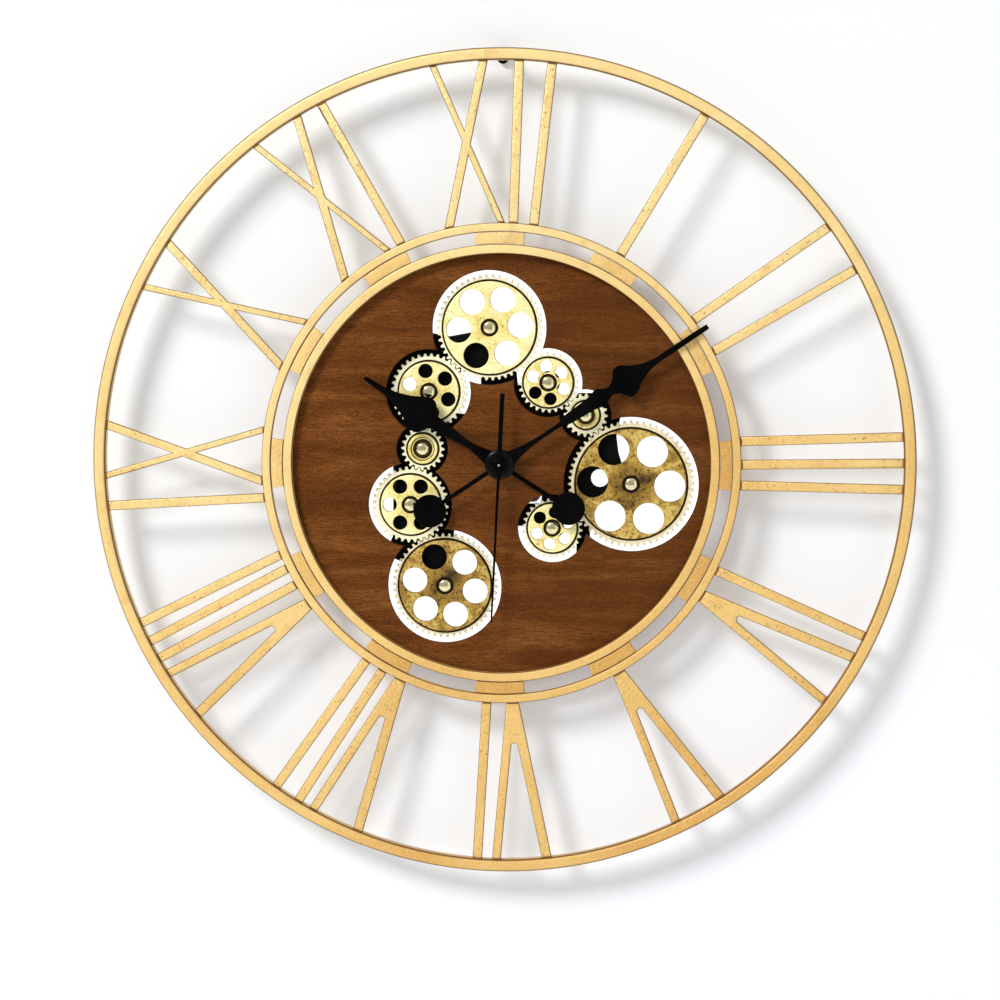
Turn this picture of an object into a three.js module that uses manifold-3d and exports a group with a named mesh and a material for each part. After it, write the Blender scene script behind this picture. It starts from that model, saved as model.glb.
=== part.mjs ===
// Wall clock with a train of nine brass gears showing through a wooden dial.
// Millimetres, +Z up. The hands turn about the Y axis through the origin, the front of the
// clock faces -Y and the wall is the plane y = 0. A "depth" below is a distance in front of
// the wall, so a solid between depths a and b lies between y = -b and y = -a.

import * as THREE from 'three';
import { mergeVertices } from 'three/addons/utils/BufferGeometryUtils.js';
import Module from 'manifold-3d';

const wasm = await Module();
wasm.setup();

// ---------------------------------------------------------------- driving dimensions

const GAP = 0.3;

const OUTER_RING = { inner: 291, outer: 300, back: 20.8, front: 30.8 };
const OUTER_BAND = { inner: 168.3, outer: 174.8, back: 24.8, front: 30.8 };
const INNER_BAND = { inner: 152.5, outer: 159.4, back: 24.8, front: 30.8 };
const SPACER = { inner: 158.9, outer: OUTER_BAND.inner - GAP, halfAngle: 6.2, back: 25.8, front: 29.8 };
const NUMERAL = { back: 26.8, front: 29.8, thinBar: 4.8, wideBar: 6.5, legBar: 7.4, post: 7 };

const PANEL = { radius: 158, back: 18.5, front: 24.5, shaftHole: 5 };
const CARRIER = { back: 13.6, front: 15.4, boss: 8.5, pillar: 4 };

const MODULE = 1.5;
const ADDENDUM = 0.7 * MODULE;
const DEDENDUM = 0.9 * MODULE;
const TOOTH_HALF_WIDTH = 0.218 * Math.PI * MODULE;
const FLANK_SLOPE = Math.tan(THREE.MathUtils.degToRad(20));
const GEAR = { back: 16.2, rimFront: 19.2, webFront: 21, capFront: 22.4, arborBack: 12.2 };
const GEAR_HUB = { cap: 4.7, shoulder: 4, arbor: 2 };
const RUNNING = 0.09;

// A hand's hub is a disc that stands a little proud of the hand, up to hubFront.
const HOUR_HAND = { angle: 302.4, back: 29.4, front: 30.8, hub: 11, hubFront: 31.4, tail: 59.3 };
const MINUTE_HAND = { angle: 56.2, back: 33.2, front: 34.6, hub: 10.4, hubFront: 35.4, tail: 61 };
const SECOND_HAND = { angle: 182.8, back: 36.8, front: 37.6, hub: 5.4, hubFront: 38.6, tail: 52 };

// The shafts are tubes inside one another, each with the radius and the front end given here.
const BUSHING = { radius: 4.6, front: 27.4 };
const HOUR_TUBE = { radius: 3.2, front: 31.1 };
const CANNON = { radius: 1.9, front: 35.1 };
const ARBOR = { radius: 0.8, back: 4, front: 38.9 };

const MOVEMENT = { half: 28, corner: 4, wall: 1.4, back: 1.5, front: 18.2, coverFront: 1.2, bayTop: -11 };
const MOTION_WORK = { module: 0.5, cannonTeeth: 10, wheelTeeth: 30, pinionTeeth: 8, hourTeeth: 32 };
const AA_CELL = { radius: 7, length: 50, x: 0, z: -19.5, depth: 9.2, standing: false };
const AAA_CELL = { radius: 5, length: 44, x: -42.5, z: -29, depth: 6.4, standing: true };
const DRIVE = { left: -80, right: -36, bottom: -60, top: 4, back: 1.6, front: 13.3, wall: 1.2, bay: 13 };
const DRIVE_COVER = { back: 0.3, front: 1.3 };

// ---------------------------------------------------------------- materials

const finish = (color, roughness, metalness) => ({ color, roughness, metalness });
const GOLD = finish(0xe9c883, 0.5, 0.55);
const BRASS = finish(0xd9c07a, 0.28, 1);
const WALNUT = finish(0x6e4226, 0.6, 0);
const BLACK = finish(0x0b0b0c, 0.45, 0.2);
const PLASTIC = finish(0x1a1a1c, 0.55, 0);
const NYLON = finish(0xe8e4d8, 0.5, 0);
const STEEL = finish(0x9a9a9c, 0.3, 1);
const CELL = finish(0x3f6b8a, 0.4, 0.4);

const clock = new THREE.Group();

function addPart(name, geometry, look) {
  const mesh = new THREE.Mesh(geometry, new THREE.MeshStandardMaterial(look));
  mesh.name = name;
  clock.add(mesh);
}

// ---------------------------------------------------------------- flat outlines, x to the right and z up

const rad = THREE.MathUtils.degToRad;
const point = (x, z) => new THREE.Vector2(x, z);

function arc(cx, cz, radius, from, to, steps) {
  const points = [];
  for (let i = 0; i <= steps; i += 1) {
    const angle = rad(from + ((to - from) * i) / steps);
    points.push(point(cx + radius * Math.cos(angle), cz + radius * Math.sin(angle)));
  }
  return points;
}

const circle = (cx, cz, radius, sides) => arc(cx, cz, radius, 0, 360, sides).slice(0, -1);
const polygon = (pairs) => pairs.map(([x, z]) => point(x, z));
const rectangle = (x0, z0, x1, z1) => polygon([[x0, z0], [x1, z0], [x1, z1], [x0, z1]]);

function roundedRectangle(x0, z0, x1, z1, radius) {
  const corners = [[x1 - radius, z0 + radius], [x1 - radius, z1 - radius], [x0 + radius, z1 - radius],
    [x0 + radius, z0 + radius]];
  return corners.flatMap(([cx, cz], i) => arc(cx, cz, radius, 90 * i - 90, 90 * i, 3));
}

// Turns an outline about the clock's centre, clockwise as seen from the front.
function turned(outline, degrees) {
  return outline.map((p) => p.clone().rotateAround(point(0, 0), -rad(degrees)));
}

function plate(outline, back, front, holes = []) {
  const shape = new THREE.Shape(outline);
  holes.forEach((hole) => shape.holes.push(new THREE.Path(hole)));
  const geometry = new THREE.ExtrudeGeometry(shape, { depth: front - back, bevelEnabled: false });
  geometry.rotateX(Math.PI / 2);
  geometry.translate(0, -back, 0);
  return geometry;
}

const disc = (cx, cz, radius, back, front, sides) => plate(circle(cx, cz, radius, sides), back, front);

function washer(cx, cz, inner, outer, back, front, sides) {
  return plate(circle(cx, cz, outer, sides), back, front, [circle(cx, cz, inner, sides)]);
}

// ---------------------------------------------------------------- joining and cutting

function solid(geometry) {
  const bare = geometry.clone();
  bare.deleteAttribute('normal');
  bare.deleteAttribute('uv');
  const merged = mergeVertices(bare, 1e-4);
  return new wasm.Manifold(new wasm.Mesh({
    numProp: 3,
    vertProperties: new Float32Array(merged.attributes.position.array),
    triVerts: new Uint32Array(merged.index.array),
  }));
}

function geometryOf(body) {
  const mesh = body.getMesh();
  const geometry = new THREE.BufferGeometry();
  geometry.setAttribute('position', new THREE.BufferAttribute(new Float32Array(mesh.vertProperties), 3));
  geometry.setIndex(new THREE.BufferAttribute(new Uint32Array(mesh.triVerts), 1));
  geometry.computeVertexNormals();
  return geometry;
}

const joined = (...geometries) => geometries.map(solid).reduce((a, b) => a.add(b));
const without = (body, ...geometries) => geometries.map(solid).reduce((a, b) => a.subtract(b), body);

// ---------------------------------------------------------------- gold frame

function bandPlate({ inner, outer, back, front }, sides) {
  return washer(0, 0, inner, outer, back, front, sides);
}

// A block that joins the two chapter bands at an hour.
function spacerBlock(hour) {
  const outline = [
    ...arc(0, 0, SPACER.outer, 90 - SPACER.halfAngle, 90 + SPACER.halfAngle, 2),
    ...arc(0, 0, SPACER.inner, 90 + SPACER.halfAngle, 90 - SPACER.halfAngle, 2),
  ];
  return plate(turned(outline, hour * 30), SPACER.back, SPACER.front);
}

addPart('outer_ring', bandPlate(OUTER_RING, 96), GOLD);
addPart('chapter_outer_band', bandPlate(OUTER_BAND, 60), GOLD);
const hours = [...Array(12).keys()].map((i) => i + 1);
addPart('chapter_inner_band', geometryOf(joined(bandPlate(INNER_BAND, 60), ...hours.map(spacerBlock))), GOLD);

// Every numeral stroke is a bar that runs from the chapter band out to the ring and is
// trimmed to both. Its ends are given by their offset from the hour's own radius, in the
// clockwise direction, at the ring (top) and at the band (foot).
const TOP = OUTER_RING.inner;
const FOOT = OUTER_BAND.outer;
const ringTrim = washer(0, 0, FOOT + GAP, TOP - GAP, NUMERAL.back - 5, NUMERAL.front + 5, 120);
const BAR_OVERRUN = 22; // how far a bar is drawn past each end before it is trimmed
const NOTCH = { height: 31, radius: 3.2 }; // the round bottom of a V, above the chapter band

function barOutline(top, foot, width) {
  const lean = (top - foot) / (TOP - FOOT);
  const low = FOOT - BAR_OVERRUN;
  const high = TOP + BAR_OVERRUN;
  const at = (v) => foot + (v - FOOT) * lean;
  const half = (width / 2) * Math.hypot(1, lean);
  return [
    point(at(low) - half, low),
    point(at(low) + half, low),
    point(at(high) + half, high),
    point(at(high) - half, high),
  ];
}

function stroke(hour, outlines) {
  const bars = outlines.map((outline) => plate(turned(outline, hour * 30), NUMERAL.back, NUMERAL.front));
  return geometryOf(joined(...bars).intersect(solid(ringTrim)));
}

const post = (top, foot) => [barOutline(top, foot, NUMERAL.post)];
const cross = (falling, rising) => [
  barOutline(falling[0], falling[1], NUMERAL.thinBar),
  barOutline(rising[0], rising[1], NUMERAL.wideBar),
];

// The two legs of a V meet in a solid foot, filled up to a round-bottomed notch.
function vee(left, right, footLeft, footRight) {
  const leftFoot = footLeft + NUMERAL.legBar / 2;
  const rightFoot = footRight - NUMERAL.wideBar / 2;
  const notch = FOOT + NOTCH.height;
  const middle = (v) => ((leftFoot + rightFoot) * (TOP - v) + (left + right) * (v - FOOT)) / 2 / (TOP - FOOT);
  const filler = [
    point(middle(FOOT + 8) - 1.2, FOOT + 8),
    point(middle(FOOT + 8) + 1.2, FOOT + 8),
    ...arc(middle(notch), notch + 2, NOTCH.radius, -20, -160, 8),
  ];
  return [barOutline(left, leftFoot, NUMERAL.legBar), barOutline(right, rightFoot, NUMERAL.wideBar), filler];
}

const numerals = [
  { hour: 1, strokes: { i1: post(1.7, -0.4) } },
  { hour: 2, strokes: { i1: post(-30.8, -21), i2: post(5.2, 5.8) } },
  { hour: 3, strokes: { i1: post(-21.4, -17.6), i2: post(-2.4, -0.8), i3: post(16.5, 14.2) } },
  { hour: 4, strokes: { i1: post(-25.5, -12.8), v: vee(-8.3, 29.6, 4.1, 13.3) } },
  { hour: 5, strokes: { v: vee(-18.4, 18.9, -4.2, 5.2) } },
  { hour: 6, strokes: { v: vee(-34.9, 2.6, -13.9, -4.7), i1: post(16.7, 9.7) } },
  { hour: 7, strokes: { v: vee(-45.4, -8.3, -20.4, -11.2), i1: post(4.5, -1.1), i2: post(24, 12.8) } },
  {
    hour: 8,
    strokes: {
      v: vee(-50.2, -12.4, -24, -14.6),
      i1: post(0.7, -2.2),
      i2: post(15, 11.2),
      i3: post(30, 22.5),
    },
  },
  { hour: 9, strokes: { i1: post(-32.3, -25.5), x: cross([-10.1, 24], [28.1, -13.1]) } },
  { hour: 10, strokes: { x: cross([-19.5, 18], [17.6, -18.4]) } },
  { hour: 11, strokes: { x: cross([-39.8, 6.7], [-1.9, -30]), i1: post(18, 17.6) } },
  { hour: 12, strokes: { x: cross([-50.3, 1.1], [-12, -36]), i1: post(13.9, 9.7), i2: post(37.9, 24.7) } },
];

for (const { hour, strokes } of numerals) {
  for (const [letter, outlines] of Object.entries(strokes)) {
    addPart(`numeral_${hour}_${letter}`, stroke(hour, outlines), GOLD);
  }
}

// Folded steel hanger: an eye near the wall, a web over it and a foot behind the ring.
const HANGER = { width: 8.4, sheet: 2, plateBack: 2, footFront: 20.5, top: 298.4, toe: 292 };
const EYE = { radius: HANGER.width / 2, hole: 2, height: 294.2 };

function hangerGeometry() {
  const { width, sheet, plateBack, footFront, top, toe } = HANGER;
  const plateFront = plateBack + sheet;
  const side = polygon([[plateBack, EYE.height], [plateFront, EYE.height], [plateFront, top - sheet],
    [footFront - sheet, top - sheet], [footFront - sheet, toe], [footFront, toe], [footFront, top],
    [plateBack, top]]);
  const strip = new THREE.ExtrudeGeometry(new THREE.Shape(side), { depth: width, bevelEnabled: false });
  strip.rotateY(-Math.PI / 2);
  strip.rotateX(Math.PI / 2);
  strip.translate(width / 2, 0, 0);
  const eye = disc(0, EYE.height, EYE.radius, plateBack, plateFront, 24);
  const hole = disc(0, EYE.height, EYE.hole, plateBack - 1, plateFront + 1, 24);
  return geometryOf(without(joined(strip, eye), hole));
}

addPart('hanger', hangerGeometry(), BLACK);

// ---------------------------------------------------------------- gear train

// Each gear stands next to the one it meshes with, in the given direction (degrees
// anticlockwise from +X, seen from the front). web is the radius of its raised web, and clear
// that of its opening in the wooden panel.
const FIRST_GEAR = { x: -8.3, z: 99 };
const train = [
  { id: 1, teeth: 50, web: 33.8, clear: 41.6 },
  { id: 2, teeth: 36, web: 22, clear: 31, from: 1, direction: 226.45 },
  { id: 3, teeth: 20, web: 11, clear: 19, from: 2, direction: 263.66 },
  { id: 4, teeth: 36, web: 22, clear: 30.8, from: 3, direction: 257.65 },
  { id: 5, teeth: 50, web: 33.8, clear: 41.8, from: 4, direction: 293 },
  { id: 6, teeth: 28, web: 17.9, clear: 25, from: 1, direction: 317 },
  { id: 7, teeth: 20, web: 9.9, clear: 18.9, from: 6, direction: 319.3 },
  { id: 8, teeth: 60, web: 40.3, clear: 49, from: 7, direction: 303.6 },
  { id: 9, teeth: 28, web: 17.9, clear: 25, from: 8, direction: 209.57 },
];

// The six round holes in a gear's web, by the gear's id. The 20-tooth gears have none.
const webHoles = {
  1: { radius: 9.2, circle: 22.5, start: 4.5 },
  2: { radius: 5.2, circle: 15.3, start: 38.8 },
  4: { radius: 5.2, circle: 15.3, start: 0 },
  5: { radius: 9.2, circle: 22.5, start: -10 },
  6: { radius: 4.5, circle: 11.9, start: 38 },
  8: { radius: 11.3, circle: 28.1, start: -3 },
  9: { radius: 4.4, circle: 11.8, start: 20 },
};

// Places every gear at its meshing distance and turns it so that a tooth of one fills a gap
// of the other. phase is the angle of one tooth.
function placeTrain() {
  const placed = {};
  for (const gear of train) {
    const near = placed[gear.from];
    if (!near) {
      placed[gear.id] = { ...gear, ...FIRST_GEAR, phase: 0 };
    } else {
      const distance = (MODULE * (near.teeth + gear.teeth)) / 2;
      const direction = rad(gear.direction);
      const lead = near.phase - direction;
      placed[gear.id] = {
        ...gear,
        x: near.x + distance * Math.cos(direction),
        z: near.z + distance * Math.sin(direction),
        phase: direction + Math.PI + Math.PI / gear.teeth - (lead * near.teeth) / gear.teeth,
      };
    }
  }
  return Object.values(placed);
}

function toothedOutline(cx, cz, teeth, module, phase, addendum, dedendum, halfWidth) {
  const pitch = (module * teeth) / 2;
  const outline = [];
  const put = (radius, across, centre) => {
    const angle = centre + across / radius;
    outline.push(point(cx + radius * Math.cos(angle), cz + radius * Math.sin(angle)));
  };
  for (let i = 0; i < teeth; i += 1) {
    const centre = phase + (2 * Math.PI * i) / teeth;
    const root = halfWidth + dedendum * FLANK_SLOPE;
    const tip = halfWidth - addendum * FLANK_SLOPE;
    put(pitch - dedendum, -root, centre);
    put(pitch + addendum, -tip, centre);
    put(pitch + addendum, tip, centre);
    put(pitch - dedendum, root, centre);
  }
  return outline;
}

function gearGeometry({ id, x, z, teeth, phase, web }) {
  const holes = webHoles[id];
  const rim = toothedOutline(x, z, teeth, MODULE, phase, ADDENDUM, DEDENDUM, TOOTH_HALF_WIDTH);
  const webSides = web > 20 ? 28 : 18;
  const blank = joined(
    plate(rim, GEAR.back, GEAR.rimFront),
    disc(x, z, web, GEAR.rimFront - 1, GEAR.webFront, webSides),
    disc(x, z, GEAR_HUB.shoulder, CARRIER.front + GAP, GEAR.back + 1, 12),
    disc(x, z, GEAR_HUB.arbor, GEAR.arborBack, GEAR.back + 1, 12),
    disc(x, z, GEAR_HUB.cap, GEAR.webFront - 1, GEAR.capFront, 12),
  );
  const cuts = [];
  for (let i = 0; holes && i < 6; i += 1) {
    const angle = rad(holes.start + 60 * i);
    const hx = x + holes.circle * Math.cos(angle);
    const hz = z + holes.circle * Math.sin(angle);
    cuts.push(disc(hx, hz, holes.radius, GEAR.back - 1, GEAR.webFront + 1, holes.radius > 8 ? 12 : 8));
  }
  return geometryOf(without(blank, ...cuts));
}

const gears = placeTrain();
gears.forEach((gear) => addPart(`train_gear_${gear.id}`, gearGeometry(gear), BRASS));

// ---------------------------------------------------------------- wooden dial panel

const SCREW_SITES = [[0, 42], [-30, -38], [5, -38]];
const SCREW = { radius: 1.5, head: 3.2, headBack: 11.6, tip: 22 };
const screwHole = ([x, z], back, front) => disc(x, z, SCREW.radius + GAP, back, front, 12);

function panelGeometry() {
  const cutOuts = gears.map((gear) => disc(gear.x, gear.z, gear.clear, PANEL.back - 1, PANEL.front + 1, 32));
  const shaftHole = disc(0, 0, PANEL.shaftHole, PANEL.back - 1, PANEL.front + 1, 20);
  const pilots = SCREW_SITES.map((site) => screwHole(site, PANEL.back - 1, SCREW.tip + GAP));
  const board = solid(disc(0, 0, PANEL.radius, PANEL.back, PANEL.front, 72));
  return geometryOf(without(board, ...cutOuts, shaftHole, ...pilots));
}

addPart('wood_panel', panelGeometry(), WALNUT);

// ---------------------------------------------------------------- gear carrier

// A black plate behind the train. It covers the middle of the clock and stops short of the
// outer sides of the gears, so the wall shows there through the gears' holes.
const CARRIER_OUTLINE = polygon([
  [-52, 95], [-70, 84], [-84, 69], [-86, 52], [-79, 30], [-79, 4], [-77, -12], [-79.5, -30], [-80, -54],
  [-86, -68], [-70, -74.5], [-56, -76], [-50, -80], [-38, -84], [-37.8, -62], [-34, -46], [12, -46],
  [31, -46], [41, -44], [44.5, -37.5], [50, -36], [55, -46], [55, -67], [66, -67], [64, -40], [70, -29],
  [82, -24], [90, -16], [89, -3], [85.5, 8], [84, 20], [88, 40], [74, 51.5], [56, 51.5], [53, 46],
  [45, 46], [42, 51], [37, 56], [29, 59], [20, 58.5], [12, 57], [11, 67], [-6.8, 70], [-6.8, 90],
  [-12, 96], [-22, 95.5], [-38, 92.5],
]);
const CARRIER_WINDOWS = [
  rectangle(-29.5, -29.5, 29.5, 29.5),
  polygon([[-31, 36], [-20, 36], [-15, 50], [-15, 62], [-20, 68], [-31, 66]]),
  circle(72, -10.5, 6.6, 16),
  circle(-67, 57.8, 6, 12),
];

function carrierGeometry() {
  const { back, front, boss, pillar } = CARRIER;
  const bosses = gears.map(({ x, z }) => disc(x, z, boss, back, front, 12));
  const pillars = SCREW_SITES.map(([x, z]) => disc(x, z, pillar, back, PANEL.back - GAP, 12));
  const bearings = gears.map(({ x, z }) => disc(x, z, GEAR_HUB.arbor + RUNNING, back - 1, front + 1, 12));
  const passages = SCREW_SITES.map((site) => screwHole(site, back - 1, PANEL.back + 1));
  const sheet = plate(CARRIER_OUTLINE, back, front, CARRIER_WINDOWS);
  return geometryOf(without(joined(sheet, ...bosses, ...pillars), ...bearings, ...passages));
}

function screwGeometry([x, z]) {
  const shank = disc(x, z, SCREW.radius, SCREW.headBack, SCREW.tip, 12);
  const head = disc(x, z, SCREW.head, SCREW.headBack, CARRIER.back - GAP, 16);
  const slot = plate(rectangle(x - 4, z - 0.4, x + 4, z + 0.4), SCREW.headBack - 1, SCREW.headBack + 0.8);
  return geometryOf(without(joined(shank, head), slot));
}

addPart('gear_carrier', carrierGeometry(), BLACK);
SCREW_SITES.forEach((site, i) => addPart(`carrier_screw_${i + 1}`, screwGeometry(site), STEEL));

// ---------------------------------------------------------------- hands

// A hand is given by half widths along its length, from the hub to the tip; it is mirrored
// about its own line. Its tail is a thin rod that ends in a round counterweight.
const HOUR_PROFILE = [[9.5, 5.6], [14, 4.4], [26, 2.4], [37, 3.4], [47, 4.4], [57, 5.4], [60, 9], [63, 12.6],
  [66.5, 13.8], [71, 13], [80, 8], [88, 5], [96, 2.9], [105, 2], [115, 1.6], [117, 0.8]];
const MINUTE_PROFILE = [[9.5, 5.6], [14, 4.2], [24, 2.5], [34, 1.7], [49, 1.6], [56, 2.2], [60, 3.7], [80, 5],
  [88, 6.9], [93, 4.6], [97, 3.4], [102, 6], [106, 11], [109, 12.2], [113, 11.2], [121, 6.2], [133, 2.5],
  [150, 2.2], [178, 1.9], [180.5, 1]];
const TAIL = { rod: 1.6, counterweight: 12 };

function handOutline(profile) {
  const right = profile.map(([v, half]) => point(half, v));
  const left = profile.map(([v, half]) => point(-half, v)).reverse();
  return [...right, ...left];
}

function handGeometry(profile, { angle, back, front, hub, hubFront, tail }, shaftRadius) {
  const weight = turned([point(0, -tail)], angle)[0];
  const rod = rectangle(-TAIL.rod, -tail, TAIL.rod, -5);
  const body = joined(
    plate(turned(handOutline(profile), angle), back, front),
    plate(turned(rod, angle), back, front),
    disc(weight.x, weight.y, TAIL.counterweight, back, front, 24),
    disc(0, 0, hub, back, hubFront, 24),
  );
  return geometryOf(without(body, disc(0, 0, shaftRadius + GAP, back - 1, hubFront + 1, 16)));
}

addPart('hour_hand', handGeometry(HOUR_PROFILE, HOUR_HAND, HOUR_TUBE.radius), BLACK);
addPart('minute_hand', handGeometry(MINUTE_PROFILE, MINUTE_HAND, CANNON.radius), BLACK);

function secondHandGeometry() {
  const { angle, back, front, hub, hubFront, tail } = SECOND_HAND;
  const pointer = polygon([[-1.1, 0], [1.1, 0], [0.7, 110], [0.4, 115], [-0.4, 115], [-0.7, 110]]);
  const body = joined(
    plate(turned(pointer, angle), back, front),
    plate(turned(rectangle(-1.65, -tail, 1.65, 0), angle), back, front),
    disc(0, 0, hub, back, hubFront, 20),
  );
  return geometryOf(without(body, disc(0, 0, ARBOR.radius + GAP, back - 1, hubFront + 1, 12)));
}

addPart('second_hand', secondHandGeometry(), BLACK);

// ---------------------------------------------------------------- movement

const SETTING = { x: 0, z: (MOTION_WORK.module * (MOTION_WORK.cannonTeeth + MOTION_WORK.wheelTeeth)) / 2 };
const STEM = { radius: 1.5, back: 0.9 }; // the minute wheel's arbor, which the setting knob sits on
const KNOB = { teeth: 12, module: 0.9, back: 0.2, front: 3, well: 6.6 };

// The small gears between the hands share one tooth form.
function smallGear(cx, cz, teeth, phase, back, front) {
  const { module } = MOTION_WORK;
  const halfWidth = 0.2 * Math.PI * module;
  const outline = toothedOutline(cx, cz, teeth, module, phase, 0.7 * module, 0.9 * module, halfWidth);
  return plate(outline, back, front);
}

// Back and front depths of the four toothed wheels.
const WHEEL_DEPTHS = { cannon: [9.5, 12], minute: [10, 11.6], pinion: [11, 14.6], hour: [12.6, 14.4] };

const up = Math.PI / 2;
const wheelPhase = -up + Math.PI / MOTION_WORK.wheelTeeth;
const pinionPhase = -up;
const hourPhase = up + Math.PI / MOTION_WORK.hourTeeth;

function cannonPinion() {
  const body = joined(
    smallGear(0, 0, MOTION_WORK.cannonTeeth, up, ...WHEEL_DEPTHS.cannon),
    disc(0, 0, CANNON.radius, 11, CANNON.front, 16),
  );
  return geometryOf(without(body, disc(0, 0, ARBOR.radius + RUNNING, 5, ARBOR.front, 16)));
}

function hourWheel() {
  const body = joined(
    smallGear(0, 0, MOTION_WORK.hourTeeth, hourPhase, ...WHEEL_DEPTHS.hour),
    disc(0, 0, HOUR_TUBE.radius, 13, HOUR_TUBE.front, 16),
  );
  return geometryOf(without(body, disc(0, 0, CANNON.radius + RUNNING, 5, CANNON.front, 16)));
}

function minuteWheel() {
  const { x, z } = SETTING;
  return geometryOf(joined(
    smallGear(x, z, MOTION_WORK.wheelTeeth, wheelPhase, ...WHEEL_DEPTHS.minute),
    smallGear(x, z, MOTION_WORK.pinionTeeth, pinionPhase, ...WHEEL_DEPTHS.pinion),
    disc(x, z, STEM.radius, STEM.back, 11, 20),
  ));
}

function settingKnob() {
  const { x, z } = SETTING;
  const knurl = toothedOutline(x, z, KNOB.teeth, KNOB.module, 0, 0.4, 0.4, 0.7);
  const socket = disc(x, z, STEM.radius + GAP, STEM.back - GAP, KNOB.front + 1, 20);
  return geometryOf(without(solid(plate(knurl, KNOB.back, KNOB.front)), socket));
}

function movementCase() {
  const { half, corner, wall, back, front, bayTop } = MOVEMENT;
  const body = joined(
    plate(roundedRectangle(-half, -half, half, half, corner), back, front),
    disc(0, 0, BUSHING.radius, front - 1, BUSHING.front, 16),
  );
  const inner = half - wall;
  return geometryOf(without(
    body,
    plate(roundedRectangle(-inner, bayTop + wall, inner, inner, corner - wall), back - 1, front - wall),
    plate(roundedRectangle(-inner, -inner, inner, bayTop, corner - wall), back - 1, front - wall),
    disc(0, 0, HOUR_TUBE.radius + RUNNING, 5, BUSHING.front + 1, 16),
  ));
}

function movementCover() {
  const { half, coverFront, bayTop } = MOVEMENT;
  const sheet = plate(rectangle(-half, bayTop, half, half), 0, coverFront);
  return geometryOf(without(solid(sheet), disc(SETTING.x, SETTING.z, KNOB.well, -1, coverFront + 1, 28)));
}

function cellGeometry({ radius, length, x, z, depth, standing }) {
  const cell = new THREE.CylinderGeometry(radius, radius, length - 2, 16);
  const terminal = new THREE.CylinderGeometry(radius * 0.38, radius * 0.38, 3, 8);
  terminal.translate(0, length / 2 - 0.5, 0);
  const body = geometryOf(joined(cell, terminal));
  body.rotateZ(standing ? 0 : -Math.PI / 2);
  body.rotateX(standing ? Math.PI / 2 : 0);
  body.translate(x, -depth, z);
  return body;
}

const STEP_MOTOR = { left: 11, right: 24, bottom: 2, top: 22, back: 3, front: 15.4 };

function stepMotor() {
  const { left, right, bottom, top, back, front } = STEP_MOTOR;
  return plate(rectangle(left, bottom, right, top), back, front);
}

addPart('movement_case', movementCase(), PLASTIC);
addPart('movement_cover', movementCover(), PLASTIC);
addPart('step_motor', stepMotor(), STEEL);
addPart('cannon_pinion', cannonPinion(), BRASS);
addPart('hour_wheel', hourWheel(), NYLON);
addPart('minute_wheel', minuteWheel(), NYLON);
addPart('setting_knob', settingKnob(), PLASTIC);
addPart('second_arbor', disc(0, 0, ARBOR.radius, ARBOR.back, ARBOR.front, 12), STEEL);
addPart('movement_cell', cellGeometry(AA_CELL), CELL);

const NUT = { radius: 7, front: 27.2 };

function fixingNut() {
  const bore = circle(0, 0, BUSHING.radius + GAP, 16);
  return plate(circle(0, 0, NUT.radius, 6), PANEL.front + GAP, NUT.front, [bore]);
}

addPart('fixing_nut', fixingNut(), BRASS);

// ---------------------------------------------------------------- gear drive

const drivenGear = gears.find((gear) => gear.id === 4);

function driveCase() {
  const { left, right, bottom, top, back, front, wall, bay } = DRIVE;
  const body = solid(plate(rectangle(left, bottom, right, top), back, front));
  return geometryOf(without(
    body,
    plate(rectangle(left + wall, bottom + wall, right - bay, top - wall), back - 1, front - wall),
    plate(rectangle(right - bay + wall, bottom + wall, right - wall, top - wall), back - 1, front - wall),
    disc(drivenGear.x, drivenGear.z, GEAR_HUB.arbor + 1, front - wall - 1, front + 1, 24),
  ));
}

function driveCover() {
  const { left, right, bottom, top, bay } = DRIVE;
  return plate(rectangle(left, bottom, right - bay, top), DRIVE_COVER.back, DRIVE_COVER.front);
}

addPart('drive_case', driveCase(), PLASTIC);
addPart('drive_cover', driveCover(), PLASTIC);
addPart('drive_cell', cellGeometry(AAA_CELL), CELL);

export default clock;
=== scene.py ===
"""Looks of a wall clock with a brass gear train: gold frame, walnut panel, gears and black hands."""

import math
import random

import bmesh
import bpy
from mathutils import Matrix, Vector


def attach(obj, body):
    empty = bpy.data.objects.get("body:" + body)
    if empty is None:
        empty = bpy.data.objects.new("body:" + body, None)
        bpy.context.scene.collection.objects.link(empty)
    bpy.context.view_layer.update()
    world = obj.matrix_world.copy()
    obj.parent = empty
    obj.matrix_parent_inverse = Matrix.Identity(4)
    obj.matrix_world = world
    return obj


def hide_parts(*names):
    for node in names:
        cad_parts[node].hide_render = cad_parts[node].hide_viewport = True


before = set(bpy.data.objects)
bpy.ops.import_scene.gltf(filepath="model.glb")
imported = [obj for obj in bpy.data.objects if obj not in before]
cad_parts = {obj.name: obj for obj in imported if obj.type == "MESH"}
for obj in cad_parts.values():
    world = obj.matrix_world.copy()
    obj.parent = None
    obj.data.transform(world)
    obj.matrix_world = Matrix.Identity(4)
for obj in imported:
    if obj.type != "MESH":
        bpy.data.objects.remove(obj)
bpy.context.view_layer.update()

MM = 0.001
SEED = 7
random.seed(SEED)
scene = bpy.context.scene
TAU = 2 * math.pi

# ---------------------------------------------------------------- driving sizes, in millimetres
# A depth is a distance in front of the wall. The rings' radii are about the hands' axis, and a gear's
# about its own.

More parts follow.
